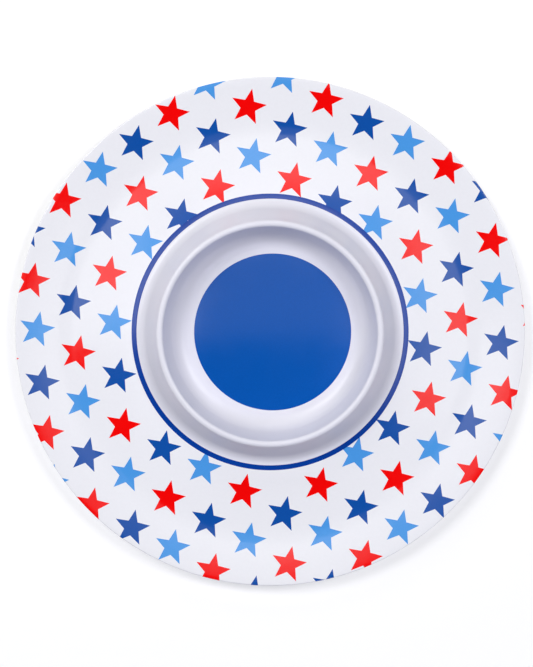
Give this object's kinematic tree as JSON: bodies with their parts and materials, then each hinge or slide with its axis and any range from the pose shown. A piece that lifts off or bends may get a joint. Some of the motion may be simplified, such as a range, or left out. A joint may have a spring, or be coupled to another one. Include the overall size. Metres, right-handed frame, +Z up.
{
  "type": "chip and dip server",
  "caption": "Round one-piece moulded serving platter with a sloping chip tray, a raised ring wall round a central dip well, and printed star and disc decals.",
  "frame": {"origin": "centre of the foot ring's resting face, on the surface that the platter stands on", "axes": "+Z up along the turning axis, out of the dip well; the well's printed disc is shifted along +X"},
  "size_m": [0.3692, 0.3692, 0.0335],
  "materials": {
    "melamine": "gloss",
    "tray_foil": "gloss",
    "well_ink": "gloss",
    "ink_red": "gloss",
    "ink_navy": "gloss",
    "ink_light_blue": "gloss"
  },
  "bodies": {
    "root": {"melamine_body": "melamine", "tray_decal": "tray_foil", "well_decal": "well_ink"}
  },
  "joints": []
}
